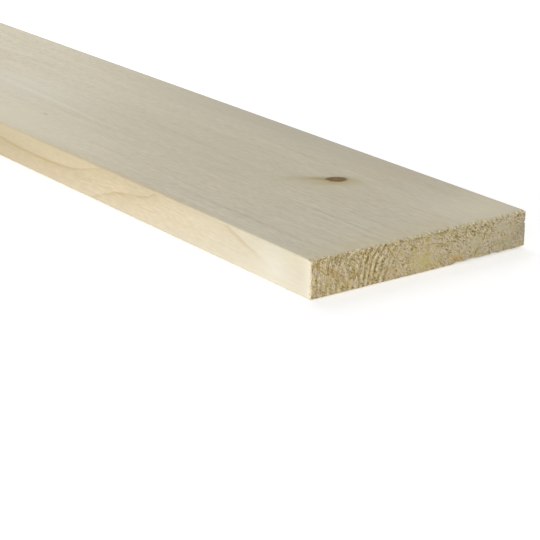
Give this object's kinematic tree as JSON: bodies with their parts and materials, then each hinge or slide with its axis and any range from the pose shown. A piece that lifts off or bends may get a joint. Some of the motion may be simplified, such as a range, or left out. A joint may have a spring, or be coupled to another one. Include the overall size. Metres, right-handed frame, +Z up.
{
  "type": "planed timber plank",
  "caption": "Straight planed softwood plank of rectangular section with eased long arrises and square-cut ends, lying flat, for boarding, shelving and general carpentry.",
  "frame": {"origin": "centre of the underside, the broad face that the plank lies on", "axes": "+X along the plank and its grain, +Y across the width, +Z up through the thickness"},
  "size_m": [1.8, 0.145, 0.021],
  "materials": {
    "planed_spruce": "matte"
  },
  "bodies": {
    "root": {"plank": "planed_spruce"}
  },
  "joints": []
}
